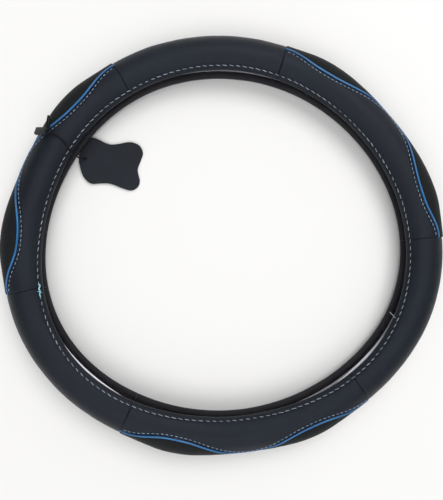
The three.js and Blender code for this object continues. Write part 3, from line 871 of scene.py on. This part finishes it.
def tag_string():
    """The string leaves the clasp, crosses the front, passes the tag's eye and comes back below."""
    path = [
        over(121, OVER_GRIP + 0.9, 0.3), over(110, OVER_GRIP + 0.2, -1.0), over(98, OVER_TUBE + 0.9, -1.3),
        over(84, OVER_TUBE + 0.5, -1.7), over(67, OVER_TUBE + 0.2, -0.6), over(50, OVER_TUBE + 0.1, 1.5),
        over(34, OVER_TUBE, 2.5), over(14, OVER_TUBE + 0.2, 3.6), (EYE_U + 1, CENTRE_Z - 2.5, 3.2),
        (EYE_U - 0.1, ON_TABLE + 6.5, 1.3), (EYE_U, ON_TABLE + 2.2, 0), (EYE_U + 1.3, ON_TABLE + 0.35, 0),
        (EYE_U + 4, ON_TABLE, 0), (EYE_U / 2, ON_TABLE, 0), (-4, ON_TABLE, 0), (4, ON_TABLE, 0),
        over(250, OVER_GRIP), over(240, OVER_GRIP + 0.8), over(228, OVER_GRIP + 1.0),
        over(213, OVER_GRIP + 0.1), over(195, OVER_GRIP), over(170, OVER_GRIP),
        over(150, OVER_GRIP), over(134, OVER_GRIP + 0.5), over(129, OVER_GRIP + 0.9),
    ]
    u, z, along = (np.array([p[k] for p in path]) for k in range(3))
    deg = STRING_AT + along / (RING_RADIUS * DEG)
    line = smooth_line(in_section(deg, u, np.maximum(z, ON_TABLE)), 0.5)
    sideways = in_section(STRING_AT + 1, 0.0, 0.0) - in_section(STRING_AT, 0.0, 0.0)
    piece = tube("hang_string", line, np.tile(sideways, (len(line), 1)), STRING, 10)
    finish_piece(piece, STRING_LOOK, "string", "tag_string")
    return piece, line


def notched_box(size, corner, edge):
    """Profile rings of a flat block with rounded corners, rolled edges and a notch in one end."""
    length, width, thick = (s / 2 for s in size)
    rings = []
    for a in np.linspace(-90, 90, 11):
        inset = edge * (1 - math.cos(a * DEG))
        z = math.copysign(thick - edge, a) + edge * math.sin(a * DEG) if a else 0.0
        ring = []
        for quarter in range(4):
            cx = (length - corner) * (1 if quarter in (0, 3) else -1)
            cy = (width - corner) * (1 if quarter in (0, 1) else -1)
            for t in np.linspace(0, 90, 7):
                b = quarter * 90 + t
                ring.append((cx + (corner - inset) * math.cos(b * DEG),
                             cy + (corner - inset) * math.sin(b * DEG), z))
            if quarter == 1:
                ring += [(inset - length + x, y, z) for x, y in CLASP_NOTCH]
        rings.append(ring)
    return np.array(rings)


def tag_clasp():
    """Flat clasp, folded from a strip whose ends meet in a notch."""
    rings = notched_box(CLASP_SIZE, CLASP_CORNER, CLASP_EDGE)
    sections, sides = rings.shape[:2]
    piece = mesh_object("tag_clasp_block", rings.reshape(-1, 3), tube_faces(sections, sides, 0))
    turned = (Matrix.Rotation(STRING_AT * DEG, 4, "Z") @ Matrix.Rotation((CLASP_DEG - 90) * DEG, 4, "Y")
              @ Matrix.Rotation((CLASP_TURN - STRING_AT) * DEG, 4, "Z"))
    out = OVER_GRIP + STRING + GAP + CLASP_SIZE[2] / 2
    u, z, _ = over(CLASP_DEG, out)
    middle = in_section(STRING_AT + CLASP_ASIDE, u, z)
    piece.data.transform(Matrix.Translation(Vector((middle * MM).tolist())) @ turned)
    return finish_piece(piece, CLASP_LOOK, "clasp", "tag_clasp")


def tag_hide():
    """Flat leather tag cut like a hide, a little wavy, with a cut edge and an eye for the string."""
    outline = closed_curve(HIDE, 220)
    angle = np.arctan2(outline[:, 1], outline[:, 0])
    eye = 0.95 * np.stack([np.cos(angle), np.sin(angle)], 1)
    inward = outline / np.linalg.norm(outline, axis=1, keepdims=True)
    lift = ON_TABLE + STRING + GAP
    shares = np.concatenate([[0.0, 0.02], np.linspace(0.05, 1, 26) ** 0.9])
    flats = [eye + (outline - inward * 0.25 - eye) * share for share in shares]
    rim = [(outline - inward * 0.06, TAG - 0.12), (outline, TAG - 0.4), (outline, 0.4),
           (outline - inward * 0.06, 0.12)]
    rings = [(flat, TAG) for flat in flats] + rim + [(flat, 0.0) for flat in flats[::-1]]
    points = []
    for flat, z in rings:
        out = flat[:, 0] * math.cos(STRING_AT * DEG) + flat[:, 1] * math.sin(STRING_AT * DEG)
        wavy = 0.22 * np.sin(flat[:, 0] * 0.11 + 1.2) * np.sin(flat[:, 1] * 0.13 + 0.4)
        height = z + lift * (out + TAG_REACH) / TAG_REACH + np.clip(wavy, -0.05, 1)
        points.append(np.stack([flat[:, 0] + EYE[0], flat[:, 1] + EYE[1], np.maximum(height, 0.05)], 1))
    points = np.array(points)
    rows, count = points.shape[:2]
    faces = []
    for i in range(rows):
        below = (i + 1) % rows
        for k in range(count):
            beside = (k + 1) % count
            faces.append([i * count + k, below * count + k, below * count + beside, i * count + beside])
    piece = mesh_object("hang_tag_leather", points.reshape(-1, 3), faces)
    return finish_piece(piece, TAG_LOOK, "tag_leather", "tag_hide")


def string_ends():
    """The knotted ends of the string, a short loop that stands out beside the clasp."""
    places = [over(116, 21.4, -1.5), over(119, 21.3, -3.9), over(129, 21.2, -5.9), over(137, 21.4, -8.6),
              over(143, 21.9, -11.4), over(129, 21.5, -9.8), over(118, 21.4, -6.4), over(113, 21.4, -2.5)]
    u, z, along = (np.array([p[k] for p in places]) for k in range(3))
    points = in_section(STRING_AT + along / (RING_RADIUS * DEG), u, z)
    thread_piece("hang_string_ends", points, STRING, STRING_LOOK, "string")


string_piece, string_line = tag_string()
string_ends()
clasp_piece = tag_clasp()
tag_piece = tag_hide()

# Floor, light and camera
FLOOR_HALF = 3000
ROOM_STRENGTH = 0.83
SEEN_WHITE = (1.15, 1.15, 1.14, 1)
CAMERA_AT = (-0.02046, -0.01295, 0.4692)
CAMERA_BACK, CAMERA_RIGHT = (-0.0389, -0.0186, 0.9991), (0.9992, -0.0007, 0.0389)
LENS_SHARE = 508.63 / 500


def room_light(tree, levels):
    """Light from all round, brighter on some sides, while the camera sees white.

    The levels are (azimuth / 360 + 0.5, level), first at both ends and then between them.
    """
    around = node(tree, "ShaderNodeTexGradient", gradient_type="RADIAL")
    where = tree.nodes.new("ShaderNodeTexCoord").outputs["Generated"]
    tree.links.new(where, around.inputs["Vector"])
    stops = [(at, (0.975 * level, 0.985 * level, level, 1)) for at, level in levels]
    seen = node(tree, "ShaderNodeMixRGB", Color2=SEEN_WHITE)
    tree.links.new(tree.nodes.new("ShaderNodeLightPath").outputs["Is Camera Ray"], seen.inputs["Fac"])
    tree.links.new(ramp(tree, around.outputs["Fac"], stops), seen.inputs["Color1"])
    background = tree.nodes["Background"]
    tree.links.new(seen.outputs["Color"], background.inputs["Color"])
    background.inputs["Strength"].default_value = ROOM_STRENGTH


def lamp(name, place, size, power):
    """A rectangular lamp that faces the middle of the ring."""
    light = bpy.data.lights.new(name, "AREA")
    light.shape = "RECTANGLE"
    light.size, light.size_y = size
    light.energy = power
    obj = add_object(name, light)
    obj.location = place
    obj.rotation_euler = (-Vector(place)).to_track_quat("-Z", "Y").to_euler()


floor = mesh_object("floor", [(-FLOOR_HALF, -FLOOR_HALF, 0), (FLOOR_HALF, -FLOOR_HALF, 0),
                              (FLOOR_HALF, FLOOR_HALF, 0), (-FLOOR_HALF, FLOOR_HALF, 0)],
                    [[0, 1, 2, 3]], smooth=False)
floor_look, _, floor_shader = nodes_of("table_white")
floor_shader.inputs["Base Color"].default_value = (0.93, 0.921, 0.906, 1)
floor_shader.inputs["Roughness"].default_value = 0.9
floor_shader.inputs["Specular IOR Level"].default_value = 0.1
floor.data.materials.append(floor_look)

world = bpy.data.worlds.new("room")
bpy.context.scene.world = world
world.use_nodes = True
room_light(world.node_tree, [
    (0, 0.3), (1, 0.3), (0.1, 0.75), (0.27, 1), (0.35, 0.85), (0.44, 0.3), (0.52, 0.12),
    (0.58, 0.5), (0.63, 1), (0.72, 0.8), (0.8, 0.5), (0.92, 0.22),
])
lamp("window", (0.4, 0.8, 1.55), (1.3, 1.0), 14.5)
lamp("room", (-0.2, -0.85, 1.65), (1.9, 1.2), 11.5)

camera = add_object("camera", bpy.data.cameras.new("camera"))
back = Vector(CAMERA_BACK).normalized()
up = back.cross(Vector(CAMERA_RIGHT).normalized()).normalized()
turned = Matrix((up.cross(back), up, back)).transposed().to_4x4()
camera.matrix_world = Matrix.Translation(CAMERA_AT) @ turned
camera.data.sensor_width = 36
camera.data.lens = 36 * LENS_SHARE
bpy.context.scene.camera = camera

bpy.context.scene.view_settings.view_transform = "Standard"
